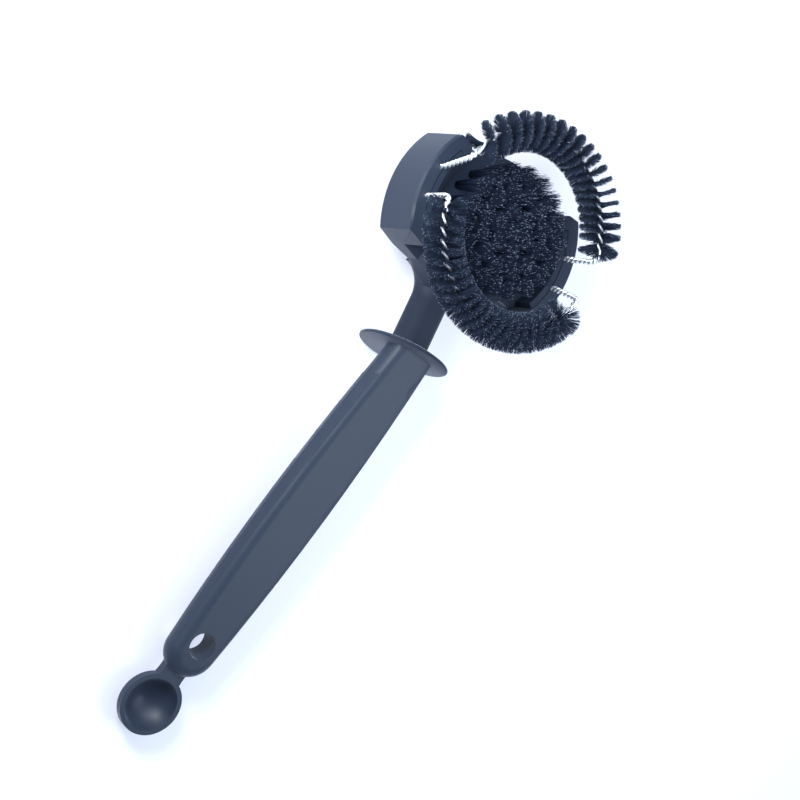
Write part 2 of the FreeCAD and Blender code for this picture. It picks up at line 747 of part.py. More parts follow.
def twisted_wire(name, way, leans):
    """A twisted pair of steel strands, drawn as a six-sided envelope: up out of one socket,
    over a bend, round the arc, over the other bend and down into the other socket."""
    (left, left_angle), (right, right_angle) = wire_ends(way, leans)
    if way < 0:
        left_angle %= 2 * math.pi
        right_angle %= 2 * math.pi
    bends = (size("leg_bend"), size("corner_bend"))
    middle_angle = (left_angle + right_angle) / 2
    ring, height = value_of(RING_RADIUS), size("ring_height")
    middle = Vector(ring * math.cos(middle_angle), ring * math.sin(middle_angle), height)
    arc = Part.Arc(left[-1], middle, right[-1]).toShape()
    edges = rounded_run(left, bends) + [arc]
    edges += rounded_run(right[::-1], bends[::-1])
    spine = Part.Wire(edges)
    around = [
        left[0] + Rotation(Vector(0, 0, 1), 60 * corner).multVec(Vector(size("wire_radius"), 0, 0))
        for corner in range(7)
    ]
    section = Part.makePolygon(around)
    piece = doc.addObject("Part::Feature", name)
    piece.Shape = spine.makePipeShell([section], True, False)
    expected = 1.5 * math.sqrt(3) * size("wire_radius") ** 2 * spine.Length
    if abs(piece.Shape.Volume / expected - 1) > 0.02:
        raise RuntimeError(f"{name}: volume {piece.Shape.Volume:.1f}, expected {expected:.1f}")
    return piece


def spiral_blade(start, stop, phase):
    """One blade of the double spiral of bristle on the ring circle, from angle start to
    angle stop: it winds round the wire, thin at the wire and thicker at its rim."""
    ring, height = value_of(RING_RADIUS), size("ring_height")
    turns_per_angle = ring / size("bristle_pitch")
    per_turn = size("bristle_sides")
    steps = round(abs(stop - start) * turns_per_angle * per_turn)
    clear = size("wire_radius") + size("bristle_fit")
    root = math.hypot(clear, size("bristle_root"))
    root_spread = math.atan2(size("bristle_root"), clear)
    tip = size("bristle_radius")
    tip_spread = math.atan2(size("bristle_tip"), tip)
    rows = []
    for step in range(steps + 1):
        angle = start + (stop - start) * step / steps
        twist = phase + 2 * math.pi * turns_per_angle * (angle - start)
        row = []
        for reach, spread in (
            (root, -root_spread), (tip, -tip_spread), (tip, tip_spread), (root, root_spread)
        ):
            out = ring + reach * math.cos(twist + spread)
            row.append(Vector(out * math.cos(angle), out * math.sin(angle),
                              height + reach * math.sin(twist + spread)))
        rows.append(row)
    facets = [rows[0], rows[-1]]
    for row, following in zip(rows, rows[1:]):
        for side in range(4):
            other = (side + 1) % 4
            facets.append([row[side], row[other], following[other]])
            facets.append([row[side], following[other], following[side]])
    return solid_within(facets)


def bristles(name, way, leans):
    """The bristles of one arc: two blades half a turn apart, like a two-start screw."""
    (_, left_angle), (_, right_angle) = wire_ends(way, leans)
    if way < 0:
        left_angle %= 2 * math.pi
        right_angle %= 2 * math.pi
    low, high = sorted((left_angle, right_angle))
    margin = size("bristle_end_gap") / value_of(RING_RADIUS)
    blades = [spiral_blade(low + margin, high - margin, phase) for phase in (0, math.pi)]
    piece = doc.addObject("Part::Feature", name)
    piece.Shape = Part.makeCompound(blades)
    return piece


def lying_down():
    """The placement that lays the brush on its back: the rim of the drum's back face and
    the skin of the scoop's bowl touch the floor."""
    skin = value_of(sphere_of(SKIN_CAP))
    middle = grip_frame(size("scoop_distance"), "sizes.scoop_rise").multVec(
        Vector(0, skin - size("scoop_depth"), 0)
    )
    run = value_of(f"{DRUM_RADIUS} - sizes.drum_edge") - middle.y
    slope = math.atan2(-middle.z, run) + math.asin(skin / math.hypot(run, middle.z))
    return Rotation(Vector(0, 0, 1), -90) * Rotation(Vector(1, 0, 0), -math.degrees(slope))


FAR_LEANS = (size("far_left_lean"), size("far_right_lean"))
NEAR_LEANS = (size("near_left_lean"), size("near_right_lean"))
pieces = [handle_body(), tuft_plate(), wire_clamp("left"), wire_clamp("right")]
pieces += list(tufts())
pieces.append(tuft_anchors())
pieces.append(twisted_wire("far_wire", 1, FAR_LEANS))
pieces.append(twisted_wire("near_wire", -1, NEAR_LEANS))
pieces.append(bristles("far_bristles", 1, FAR_LEANS))
pieces.append(bristles("near_bristles", -1, NEAR_LEANS))
doc.recompute()

# Lay the brush down and put the origin under the middle of its box
turn = lying_down()
for piece in pieces:
    piece.Placement = Placement(Vector(), turn) * piece.Placement
doc.recompute()
box = FreeCAD.BoundBox()
for piece in pieces:
    box.add(piece.Shape.optimalBoundingBox(False, False))
shift = Vector(-box.Center.x, -box.Center.y, -box.ZMin)
for piece in pieces:
    piece.Placement = Placement(shift, Rotation()) * piece.Placement
doc.recompute()

for item in doc.Objects:
    if any(word in item.State for word in ("Invalid", "Error")):
        raise RuntimeError(f"{item.Label} failed: {item.State}")
for piece in pieces:
    if piece.Shape.isNull() or not piece.Shape.isValid():
        raise RuntimeError(f"{piece.Label} is not a valid shape")
for piece in pieces:
    piece.Shape.exportStep(f"parts/{piece.Label}.step")
    print(f"{piece.Label}: {len(piece.Shape.Solids)} solid(s), {piece.Shape.Volume:.1f} mm3")
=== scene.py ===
"""Group head brush: black nylon moulding, round field of clipped tufts and two arcs of
bristle twisted into bright wire, on a white sheet under soft light."""
import bmesh
import bpy
import math
from mathutils import Matrix, Vector


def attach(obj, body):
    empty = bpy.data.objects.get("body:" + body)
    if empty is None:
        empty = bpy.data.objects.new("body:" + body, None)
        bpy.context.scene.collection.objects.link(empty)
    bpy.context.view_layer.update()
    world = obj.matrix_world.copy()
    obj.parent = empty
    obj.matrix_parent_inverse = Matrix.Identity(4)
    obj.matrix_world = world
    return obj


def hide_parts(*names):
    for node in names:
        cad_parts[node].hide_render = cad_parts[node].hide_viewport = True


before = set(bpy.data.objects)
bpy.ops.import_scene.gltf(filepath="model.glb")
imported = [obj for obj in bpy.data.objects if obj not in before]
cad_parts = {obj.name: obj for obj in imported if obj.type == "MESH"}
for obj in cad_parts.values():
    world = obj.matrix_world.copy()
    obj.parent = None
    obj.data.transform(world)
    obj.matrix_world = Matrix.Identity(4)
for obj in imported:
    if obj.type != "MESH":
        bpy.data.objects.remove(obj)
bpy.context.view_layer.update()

# ---- Moulding ----
# Scoop, web, grip, splash guard, neck and drum are one shot of black nylon with a fine
# spark-eroded skin. Along the neck it is rougher, and its colour is darker there as painted
# shade. It is the CAD solid with its seams merged and its blends shaded smooth.
MM = 0.001
BLACK_NYLON = (0.012, 0.018, 0.032)
NYLON_ROUGHNESS = 0.47
NYLON_GLOSS = 0.28
DUST_WEIGHT = 0.24
DUST_ROUGHNESS = 0.35
DUST_TINT = (0.80, 0.87, 1.0)
# Painted shade: the neck's colour is darkened to this, and the dulling makes it rougher.
NECK_PAINTED_SHADE = (0.006, 0.010, 0.020)
NECK_DULLING = 0.35
NECK_STARTS = (34.5 * MM, 37.5 * MM)
NECK_ENDS = (54.0 * MM, 62.0 * MM)
SKIN_GRAIN = 2600.0
SKIN_DEPTH = 0.012 * MM
SEAM_GAP = 0.001 * MM
BLEND_ANGLE = math.radians(28)
BLEND_ROUNDS = 7
CHIP_ANGLE = math.radians(62)
CHIP_AREA = 0.8 * MM * MM


class Field:
    """A value in a node tree. Arithmetic on it adds Math nodes to the tree."""

    def __init__(self, tree, socket):
        self.tree, self.socket = tree, socket

    def maths(self, operation, *values):
        return self.tree.add("ShaderNodeMath", dict(enumerate(values)), operation=operation)

    def __add__(self, other):
        return self.maths("ADD", self, other)

    def __radd__(self, other):
        return self.maths("ADD", other, self)

    def __sub__(self, other):
        return self.maths("SUBTRACT", self, other)

    def __rsub__(self, other):
        return self.maths("SUBTRACT", other, self)

    def __mul__(self, other):
        return self.maths("MULTIPLY", self, other)

    def __rmul__(self, other):
        return self.maths("MULTIPLY", other, self)

    def __truediv__(self, other):
        return self.maths("DIVIDE", self, other)

    def __rtruediv__(self, other):
        return self.maths("DIVIDE", other, self)

    def __gt__(self, other):
        return self.maths("GREATER_THAN", self, other)

    def cosine(self):
        return self.maths("COSINE", self)

    def sine(self):
        return self.maths("SINE", self)

    def square_root(self):
        return self.maths("SQRT", self)


class Tree:
    """A node tree for a shape or a finish, with one way to add any node to it."""

    def __init__(self, tree):
        self.tree = tree

    def add(self, kind, inputs=None, output=0, **settings):
        """A new node with its settings made first. What comes back is one of its outputs."""
        node = self.tree.nodes.new(kind)
        for setting, value in settings.items():
            setattr(node, setting, value)
        for name, value in (inputs or {}).items():
            self.feed(node.inputs[name], value)
        return Field(self, node.outputs[output])

    def feed(self, socket, value):
        """Links a field, or each field of a list, to a socket. A plain value is set."""
        if isinstance(value, Field):
            self.tree.links.new(value.socket, socket)
        elif isinstance(value, list):
            for field in value:
                self.feed(socket, field)
        else:
            socket.default_value = value


class Finish(Tree):
    """A material with one main shader."""

    def __init__(self, name, colour, values):
        self.material = bpy.data.materials.new(name)
        self.material.use_nodes = True
        super().__init__(self.material.node_tree)
        self.shader = self.tree.nodes["Principled BSDF"]
        self.shade({"Base Color": (*colour, 1.0), **values})

    def shade(self, values):
        """Feeds inputs of the main shader, by name."""
        for name, value in values.items():
            self.feed(self.shader.inputs[name], value)

    def blend(self, share, first, second):
        """A colour that is the first where the share is 0 and the second where it is 1."""
        colours = {"Factor": share, 6: (*first, 1.0), 7: (*second, 1.0)}
        return self.add("ShaderNodeMix", colours, output=2, data_type="RGBA")

    def grain(self, scale, depth):
        """A fine bump over the whole surface."""
        spot = self.add("ShaderNodeTexCoord", output="Object")
        noise = self.add("ShaderNodeTexNoise", {"Vector": spot, "Scale": scale})
        self.shade({"Normal": self.add("ShaderNodeBump", {"Height": noise, "Distance": depth})})

    def dress(self, piece):
        """Makes this the only finish of a piece."""
        piece.data.materials.clear()
        piece.data.materials.append(self.material)


def blended(face, other):
    """Whether two faces that meet are one smooth surface: their normals are close, or one of
    them is a small chip, whose own normal says little."""
    limit = CHIP_ANGLE if min(face.area, other.area) < CHIP_AREA else BLEND_ANGLE
    return other.normal.angle(face.normal, math.pi) < limit


def blended_normals(mesh):
    """One normal for each face corner: the mean of the faces that meet there in a blend, by
    their area, so that flats stay flat. Each round evens out what the round before left."""
    around = [[] for _ in mesh.vertices]
    for face in mesh.polygons:
        for corner in face.vertices:
            around[corner].append(face)
    facing = [face.normal.copy() for face in mesh.polygons]
    for _ in range(BLEND_ROUNDS):
        normals = []
        for face in mesh.polygons:
            for corner in face.vertices:
                blend = [
                    facing[other.index] * other.area for other in around[corner]
                    if blended(face, other)
                ]
                normals.append(sum(blend, Vector()).normalized())
        facing = [
            sum((normals[loop] for loop in face.loop_indices), Vector()).normalized()
            for face in mesh.polygons
        ]
    return normals


def smooth_copy(node):
    """The CAD node with its loose triangles merged and its blends shaded smooth."""
    mesh = bpy.data.meshes.new(node + "_skin")
    seams = bmesh.new()
    seams.from_mesh(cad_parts[node].data)
    bmesh.ops.remove_doubles(seams, verts=seams.verts, dist=SEAM_GAP)
    seams.to_mesh(mesh)
    seams.free()
    mesh.shade_smooth()
    mesh.normals_split_custom_set(blended_normals(mesh))
    piece = bpy.data.objects.new(node + "_skin", mesh)
    bpy.context.collection.objects.link(piece)
    return piece


nylon = Finish("black_nylon", BLACK_NYLON, {
    "Specular IOR Level": NYLON_GLOSS, "Sheen Weight": DUST_WEIGHT,
    "Sheen Roughness": DUST_ROUGHNESS, "Sheen Tint": (*DUST_TINT, 1.0),
})
nylon.grain(SKIN_GRAIN, SKIN_DEPTH)
spot = nylon.add("ShaderNodeTexCoord", output="Object")
along_handle = nylon.add("ShaderNodeSeparateXYZ", {"Vector": spot}, output="X")
past_guard, into_drum = (
    nylon.add("ShaderNodeMapRange", {"Value": along_handle, "From Min": low, "From Max": high})
    for low, high in (NECK_STARTS, NECK_ENDS)
)
# Mask of the neck, over which the colour is darkened as painted shade and the roughness raised.
neck_shade_and_dulling = past_guard * (1.0 - into_drum)
nylon.shade({
    "Roughness": NYLON_ROUGHNESS + neck_shade_and_dulling * NECK_DULLING,
    "Base Color": nylon.blend(neck_shade_and_dulling, BLACK_NYLON, NECK_PAINTED_SHADE),
})
moulding = smooth_copy("handle_body")
nylon.dress(moulding)
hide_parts("handle_body")
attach(moulding, "root")

# ---- Tuft plate and wire clamps ----
# The round plate that carries the tufts and the two curved strips that pinch the wire legs
# are pressed into the drum. They are the same nylon from smoother tools.
INSERT_ROUGHNESS = 0.38
INSERT_SKIN_DEPTH = SKIN_DEPTH / 2

insert_nylon = Finish("insert_nylon", BLACK_NYLON, {
    "Roughness": INSERT_ROUGHNESS, "Specular IOR Level": NYLON_GLOSS,
})
insert_nylon.grain(SKIN_GRAIN, INSERT_SKIN_DEPTH)
for node in ("tuft_plate", "wire_clamp_left", "wire_clamp_right"):
    insert = smooth_copy(node)
    insert_nylon.dress(insert)
    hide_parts(node)
    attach(insert, "root")

# ---- Tuft anchors ----
# Flat drawn steel wire, driven across the bottom of each hole to hold the fold of its
# tuft. The CAD solids show as they are.
ANCHOR_STEEL = (0.55, 0.55, 0.56)
ANCHOR_ROUGHNESS = 0.35
DRAWN_GRAIN = 1800.0
DRAWN_DEPTH = 0.01 * MM

anchor_steel = Finish("anchor_steel", ANCHOR_STEEL, {
    "Metallic": 1.0, "Roughness": ANCHOR_ROUGHNESS,
})
anchor_steel.grain(DRAWN_GRAIN, DRAWN_DEPTH)
anchor_steel.dress(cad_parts["tuft_anchors"])

# ---- Tufts ----
# Black nylon filament, folded over its anchor and clipped flat. Every tuft is a spiral of
# filaments that start inside the hole and spread a little past the solid's tip.
TUFT_NODES = [
    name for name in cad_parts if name.startswith("tuft_") and name[5:].isdigit()
]
FILAMENTS_PER_TUFT = 220
FILAMENT_RADIUS = 0.1 * MM
FILAMENT_SIDES = 3
FILAMENT_SEGMENTS = 2
TUFT_TAPER = 0.8
TUFT_CURL = 0.03
TUFT_STRAY = 0.03
TUFT_SHORTFALL = 0.04
TUFT_TIP_SPREAD = 0.95 * MM
ROLL_SEED = 11
GLINT_SEED = 12
GOLDEN_ANGLE = math.pi * (3 - math.sqrt(5))
FILAMENT_BLACK = (0.006, 0.010, 0.022)
FILAMENT_ROUGHNESS = 0.5
FILAMENT_GLOSS = 0.1
# Painted glints: a share of the cut tips is painted pale grey, standing in for light sparkling
# off them.
TIP_GLINT_GREY = (0.15, 0.18, 0.235)
TUFT_GLINT_TIPS = 0.15
TUFT_GLINT_FROM = 0.97


def mean(points):
    return sum(points, Vector()) / len(points)


def ends_of(node, up):
    """The middle and the radius of a tuft's solid at its root, then the same at its tip."""
    corners = [vertex.co.copy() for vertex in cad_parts[node].data.vertices]
    heights = [corner @ up for corner in corners]
    halfway = (min(heights) + max(heights)) / 2
    root = [corner for corner, height in zip(corners, heights) if height < halfway]
    tip = [corner for corner, height in zip(corners, heights) if height > halfway]
    return mean(root), (root[0] - mean(root)).length, mean(tip), (tip[0] - mean(tip)).length


middle_root, _, middle_tip, _ = ends_of("tuft_01", Vector((0, 0, 1)))
HEAD_UP = (middle_tip - middle_root).normalized()
HEAD_RIGHT = Vector((0, -1, 0))
HEAD_AHEAD = HEAD_UP.cross(HEAD_RIGHT)
middle_root, TUFT_ROOT_RADIUS, middle_tip, solid_tip_radius = ends_of("tuft_01", HEAD_UP)
TUFT_TIP_RADIUS = solid_tip_radius + TUFT_TIP_SPREAD
TUFT_LENGTH = (middle_tip - middle_root).length


class Growth(Tree):
    """A Geometry Nodes group with named inputs for its sizes."""

    def __init__(self, name, **sizes):
        group = bpy.data.node_groups.new(name, "GeometryNodeTree")
        super().__init__(group)
        sockets = group.interface
        sockets.new_socket("Geometry", in_out="INPUT", socket_type="NodeSocketGeometry")
        for label, value in sizes.items():
            kind = "NodeSocketInt" if isinstance(value, int) else "NodeSocketFloat"
            sockets.new_socket(label, in_out="INPUT", socket_type=kind).default_value = value
        sockets.new_socket("Geometry", in_out="OUTPUT", socket_type="NodeSocketGeometry")
        self.entry = group.nodes.new("NodeGroupInput")
        self.sizes = sizes

    def size(self, label):
        return Field(self, self.entry.outputs[label])

    def scaled(self, vector, scale):
        return self.add("ShaderNodeVectorMath", {0: vector, "Scale": scale}, operation="SCALE")

    def summed(self, first, second):
        return self.add("ShaderNodeVectorMath", {0: first, 1: second}, operation="ADD")

    def stray(self, spread, seed, low=None):
        """A random number from low (minus spread unless given) to spread."""
        low = 0 - spread if low is None else low
        return self.add(
            "FunctionNodeRandomValue", {2: low, 3: spread, "Seed": self.size("Seed") + seed},
            output=1, data_type="FLOAT",
        )

    def finish(self, geometry, material):
        """Ends the group: instances realised, shaded smooth, and one material set."""
        real = self.add("GeometryNodeRealizeInstances", {"Geometry": geometry})
        smooth = self.add("GeometryNodeSetShadeSmooth", {"Geometry": real})
        dressed = self.add("GeometryNodeSetMaterial", {"Geometry": smooth, "Material": material})
        out = self.tree.nodes.new("NodeGroupOutput")
        self.feed(out.inputs["Geometry"], dressed)

    def grow(self, name, mesh, **changes):
        """A plain mesh object from a starting mesh and this group, with some sizes changed."""
        piece = bpy.data.objects.new(name, mesh)
        bpy.context.collection.objects.link(piece)
        modifier = piece.modifiers.new(name, "NODES")
        modifier.node_group = self.tree
        sizes = {**self.sizes, **changes}
        for item in self.tree.interface.items_tree:
            if item.in_out == "INPUT" and item.name in sizes:
                modifier[item.identifier] = sizes[item.name]
        depsgraph = bpy.context.evaluated_depsgraph_get()
        grown = bpy.data.meshes.new_from_object(piece.evaluated_get(depsgraph))
        piece.modifiers.remove(modifier)
        piece.data = grown
        return piece


def filament(tree, length, radius, taper, curl):
    """One filament along +Z: slightly tapered and curled, with its own height from 0 to 1
    kept as the attribute along."""
    rod = tree.add("GeometryNodeMeshCone", {
        "Vertices": FILAMENT_SIDES, "Side Segments": FILAMENT_SEGMENTS,
        "Radius Top": radius * taper, "Radius Bottom": radius, "Depth": length,
    })
    spot = tree.add("GeometryNodeInputPosition")
    height = tree.add("ShaderNodeSeparateXYZ", {"Vector": spot}, output="Z") / length
    bend = tree.add("ShaderNodeCombineXYZ", {"X": height * height * length * curl})
    curled = tree.add("GeometryNodeSetPosition", {"Geometry": rod, "Offset": bend})
    return tree.add(
        "GeometryNodeStoreNamedAttribute",
        {"Geometry": curled, "Name": "along", "Value": height}, data_type="FLOAT", domain="POINT",
    )


def planted(tree, points, rod, direction, shortfall, seed):
    """The filament set on every point along a direction, rolled and cut short at random. Each one
    keeps a random number as the attribute pale, which picks the tips with painted glints."""
    roll = tree.add("FunctionNodeEulerToRotation", {
        "Euler": tree.add("ShaderNodeCombineXYZ", {"Z": tree.stray(math.pi, ROLL_SEED)})
    })
    aim = tree.add("FunctionNodeAlignRotationToVector", {"Vector": direction}, axis="Z")
    turned = tree.add(
        "FunctionNodeRotateRotation", {"Rotation": aim, "Rotate By": roll},
        rotation_space="LOCAL",
    )
    length = 1.0 - tree.stray(shortfall, seed, low=0.0)
    scale = tree.add("ShaderNodeCombineXYZ", {"X": 1.0, "Y": 1.0, "Z": length})
    placed = tree.add("GeometryNodeInstanceOnPoints", {
        "Points": points, "Instance": rod, "Rotation": turned, "Scale": scale,
    })
    return tree.add(
        "GeometryNodeStoreNamedAttribute",
        {"Geometry": placed, "Name": "pale", "Value": tree.stray(1.0, GLINT_SEED, low=0.0)},
        data_type="FLOAT", domain="INSTANCE",
    )


def filament_finish(name, black, glint_tips, glint_from):
    """Black filament, with a random share of its cut tips painted pale grey from some way along,
    as painted glints.
    """
    finish = Finish(name, black, {
        "Roughness": FILAMENT_ROUGHNESS, "Specular IOR Level": FILAMENT_GLOSS,
    })
    along, pale = (
        finish.add("ShaderNodeAttribute", output="Fac", attribute_name=attribute)
        for attribute in ("along", "pale")
    )
    # Painted glints: the picked tips are painted pale grey.
    tip = (along > glint_from) * (pale > 1 - glint_tips)
    finish.shade({"Base Color": finish.blend(tip, black, TIP_GLINT_GREY)})
    return finish


tuft_growth = Growth(
    "clipped_tufts", Seed=4, Filaments=FILAMENTS_PER_TUFT, Radius=FILAMENT_RADIUS,
    Root=TUFT_ROOT_RADIUS, Tip=TUFT_TIP_RADIUS, Length=TUFT_LENGTH, Stray=TUFT_STRAY,
)
roots = tuft_growth.add(
    "GeometryNodeDuplicateElements",
    {"Geometry": tuft_growth.size("Geometry"), "Amount": tuft_growth.size("Filaments")},
    domain="POINT",
)
turn_number = Field(tuft_growth, roots.socket.node.outputs["Duplicate Index"])
angle = turn_number * GOLDEN_ANGLE
reach = ((turn_number + 0.5) / tuft_growth.size("Filaments")).square_root()
outwards = tuft_growth.summed(
    tuft_growth.scaled(tuple(HEAD_RIGHT), angle.cosine() * reach),
    tuft_growth.scaled(tuple(HEAD_AHEAD), angle.sine() * reach),
)
spread_roots = tuft_growth.add("GeometryNodeSetPosition", {
    "Geometry": roots, "Offset": tuft_growth.scaled(outwards, tuft_growth.size("Root")),
})
flare = tuft_growth.scaled(
    outwards,
    (tuft_growth.size("Tip") - tuft_growth.size("Root")) / tuft_growth.size("Length"),
)
sway = tuft_growth.summed(*(
    tuft_growth.scaled(tuple(way), tuft_growth.stray(tuft_growth.size("Stray"), seed))
    for way, seed in ((HEAD_RIGHT, 1), (HEAD_AHEAD, 2))
))
lean = tuft_growth.summed(tuple(HEAD_UP), tuft_growth.summed(flare, sway))
rod = filament(
    tuft_growth, tuft_growth.size("Length"), tuft_growth.size("Radius"), TUFT_TAPER, TUFT_CURL
)
tuft_finish = filament_finish("tuft_filament", FILAMENT_BLACK, TUFT_GLINT_TIPS, TUFT_GLINT_FROM)
tuft_growth.finish(
    planted(tuft_growth, spread_roots, rod, lean, TUFT_SHORTFALL, seed=3), tuft_finish.material
)
root_points = bpy.data.meshes.new("tuft_roots")
root_points.from_pydata([ends_of(node, HEAD_UP)[0] for node in TUFT_NODES], [], [])
tufts = tuft_growth.grow("tuft_filaments", root_points)
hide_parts(*TUFT_NODES)
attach(tufts, "root")

# ---- Twisted wires ----
# Two bright drawn strands twisted together, tightly in the legs and in a long lay round
# the arc, where they hold the bristles. Each wire is bent up out of its two sockets. Its
# sizes are in the head's own axes: right, ahead and up from the middle of the drum.
STRAND_RADIUS = 0.6 * MM
STRAND_SIDES = 8
WIRE_STEP = 0.35 * MM
RING_RADIUS = 36.0 * MM
RING_HEIGHT = 33.0 * MM
RING_SPLAY = 0.15 * MM
SOCKET_RADIUS = 34.35 * MM
SOCKET_FLOOR = 9.3 * MM
KNEE_HEIGHT = 19.2 * MM
LEG_MIDDLE = 0.9 * MM
LEG_SPACING = 12.1 * MM
KNEE_BEND = 5.0 * MM
CORNER_BEND = 2.4 * MM
LEG_LAY = -4.3 * MM
ARC_LAYS = {"far": (-10.6 * MM, -7.2 * MM), "near": (-8.2 * MM, -7.4 * MM)}
LEANS = {"far": (3.8 * MM, 0.3 * MM), "near": (0.3 * MM, 3.0 * MM)}
WIRE_STEEL = (0.86, 0.87, 0.89)
WIRE_ROUGHNESS = 0.38
ROOT_HEIGHT = 9.7 * MM

HEAD = Matrix((HEAD_RIGHT, HEAD_AHEAD, HEAD_UP)).transposed().to_4x4()
HEAD.translation = middle_root - HEAD_UP * ROOT_HEIGHT


def bent(points, bends):
    """Points along a path with an arc of the given radius at each inner corner."""
    path = [points[0]]
    for before, corner, after, bend in zip(points, points[1:], points[2:], bends):
        arrive = (corner - before).normalized()
        leave = (after - corner).normalized()
        turn = arrive.angle(leave)
        reach = bend * math.tan(turn / 2)
        towards = (leave - arrive).normalized()
        centre = corner + towards * bend / math.cos(turn / 2)
        start = corner - arrive * reach - centre
        axis = arrive.cross(leave).normalized()
        count = max(3, int(bend * turn / WIRE_STEP))
        for number in range(count + 1):
            path.append(centre + Matrix.Rotation(turn * number / count, 3, axis) @ start)
    path.append(points[-1])
    return path


def filled(path):
    """The same path with its long straights cut into short steps."""
    full = [path[0]]
    for start, end in zip(path, path[1:]):
        count = max(1, round((end - start).length / WIRE_STEP))
        full += [start.lerp(end, number / count) for number in range(1, count + 1)]
    return full


def on_ring(angle):
    """The point of the ring at an angle from the head's right."""
    return Vector((RING_RADIUS * math.cos(angle), RING_RADIUS * math.sin(angle), RING_HEIGHT))


def wire_path(way, leans):
    """The middle line of a wire as three runs of points: the left leg up to the ring, the
    arc, and the right leg down to its socket. The way is 1 for the far arc, -1 for the near."""
    legs = []
    leg_y = LEG_MIDDLE + way * LEG_SPACING / 2
    corner_radius = RING_RADIUS + RING_SPLAY
    for side, lean in zip((-1, 1), leans):
        leg_x = side * math.sqrt(SOCKET_RADIUS ** 2 - leg_y ** 2)
        corner_y = leg_y + way * lean
        corner_x = side * math.sqrt(corner_radius ** 2 - corner_y ** 2)
        splay = way * side * math.acos(RING_RADIUS / corner_radius)
        angle = (math.atan2(corner_y, corner_x) + splay) % (2 * math.pi)
        leg = bent([
            Vector((leg_x, leg_y, SOCKET_FLOOR)),
            Vector((leg_x, leg_y, KNEE_HEIGHT)),
            Vector((corner_x, corner_y, RING_HEIGHT)),
            on_ring(angle),
        ], (KNEE_BEND, CORNER_BEND))
        legs.append((filled(leg), angle))
    (left, start), (right, stop) = legs
    if way > 0 and stop > start:
        stop -= 2 * math.pi
    count = round(abs(stop - start) * RING_RADIUS / WIRE_STEP)
    arc = [on_ring(start + (stop - start) * number / count) for number in range(1, count)]
    return left, arc, right[::-1]


def lay_along(left, arc, right, arc_lays):
    """All points of a wire, and at each the direction in which one strand lies: short lay in
    the legs, and in the arc a long lay that changes evenly from its first value to its last."""
    points = left + arc + right
    first, last = arc_lays
    lays = [LEG_LAY] * len(left)
    lays += [first + (last - first) * number / len(arc) for number in range(len(arc))]
    lays += [LEG_LAY] * len(right)
    turns = [0.0]
    for start, end, lay in zip(points, points[1:], lays[1:]):
        turns.append(turns[-1] + 2 * math.pi * (end - start).length / lay)
    across = Vector((1, 0, 0))
    directions = []
    for number, turn in enumerate(turns):
        before, after = points[max(number - 1, 0)], points[min(number + 1, len(points) - 1)]
        ahead = (after - before).normalized()
        across = (across - ahead * across.dot(ahead)).normalized()
        directions.append(Matrix.Rotation(turn - turns[len(left)], 3, ahead) @ across)
    return points, directions


def spine_mesh(name, points, directions):
    """A chain of edges in the row's axes that carries the strand's direction at each point."""
    mesh = bpy.data.meshes.new(name)
    edges = [(number, number + 1) for number in range(len(points) - 1)]
    mesh.from_pydata([HEAD @ point for point in points], edges, [])
    turned = [value for direction in directions for value in HEAD.to_3x3() @ direction]
    mesh.attributes.new("lay", "FLOAT_VECTOR", "POINT").data.foreach_set("vector", turned)
    return mesh


def spine_of(tree):
    """The starting chain as a curve, and the direction of a strand along it."""
    curve = tree.add("GeometryNodeMeshToCurve", {"Mesh": tree.size("Geometry")})
    lay = tree.add("GeometryNodeInputNamedAttribute", {"Name": "lay"}, data_type="FLOAT_VECTOR")
    return curve, lay


strand_growth = Growth("twisted_strands", Strand=STRAND_RADIUS, Sides=STRAND_SIDES)
curve, lay = spine_of(strand_growth)
ring = strand_growth.add("GeometryNodeCurvePrimitiveCircle", {
    "Resolution": strand_growth.size("Sides"), "Radius": strand_growth.size("Strand"),
})
strands = []
for way in (1.0, -1.0):
    offset = strand_growth.scaled(lay, strand_growth.size("Strand") * way)
    strand = strand_growth.add("GeometryNodeSetPosition", {"Geometry": curve, "Offset": offset})
    strands.append(strand_growth.add("GeometryNodeCurveToMesh", {
        "Curve": strand, "Profile Curve": ring, "Fill Caps": True,
    }))
pair = strand_growth.add("GeometryNodeJoinGeometry", {"Geometry": strands})
wire_steel = Finish("wire_steel", WIRE_STEEL, {"Metallic": 1.0, "Roughness": WIRE_ROUGHNESS})
strand_growth.finish(pair, wire_steel.material)
wires = {}
for arc_name, way in (("far", 1), ("near", -1)):
    left, arc, right = wire_path(way, LEANS[arc_name])
    points, directions = lay_along(left, arc, right, ARC_LAYS[arc_name])
    wires[arc_name] = (points, directions, len(left), len(left) + len(arc))
    spine = spine_mesh(arc_name + "_spine", points, directions)
    wire = strand_growth.grow(arc_name + "_strands", spine)
    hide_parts(arc_name + "_wire")
    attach(wire, "root")

# ---- Bristle arcs ----
# Nylon filaments laid across between the strands before these were twisted, so that they
# stand out in a double spiral of lobes. At both ends of an arc they fan out along the wire.
BRISTLE_RADIUS = 0.1 * MM
BRISTLE_REACH = 7.75 * MM
BRISTLE_COUNT = 6000
BRISTLE_TAPER = 0.7
BRISTLE_CURL = 0.05
BRISTLE_SHORTFALL = 0.06
BRISTLE_STRAYS = {"far": 0.15, "near": 0.34}
BRISTLE_LEANS = {"far": 0.06, "near": 0.17}
END_FAN = 0.45
END_SHARE = 0.06
BARE_ENDS = {"far": (3.5 * MM, 0.0), "near": (0.0, 6.0 * MM)}
ARC_BLACK = (0.011, 0.017, 0.032)
# Painted glints: a share of the arc's cut tips is painted pale grey.
ARC_GLINT_TIPS = 0.2
ARC_GLINT_FROM = 0.96

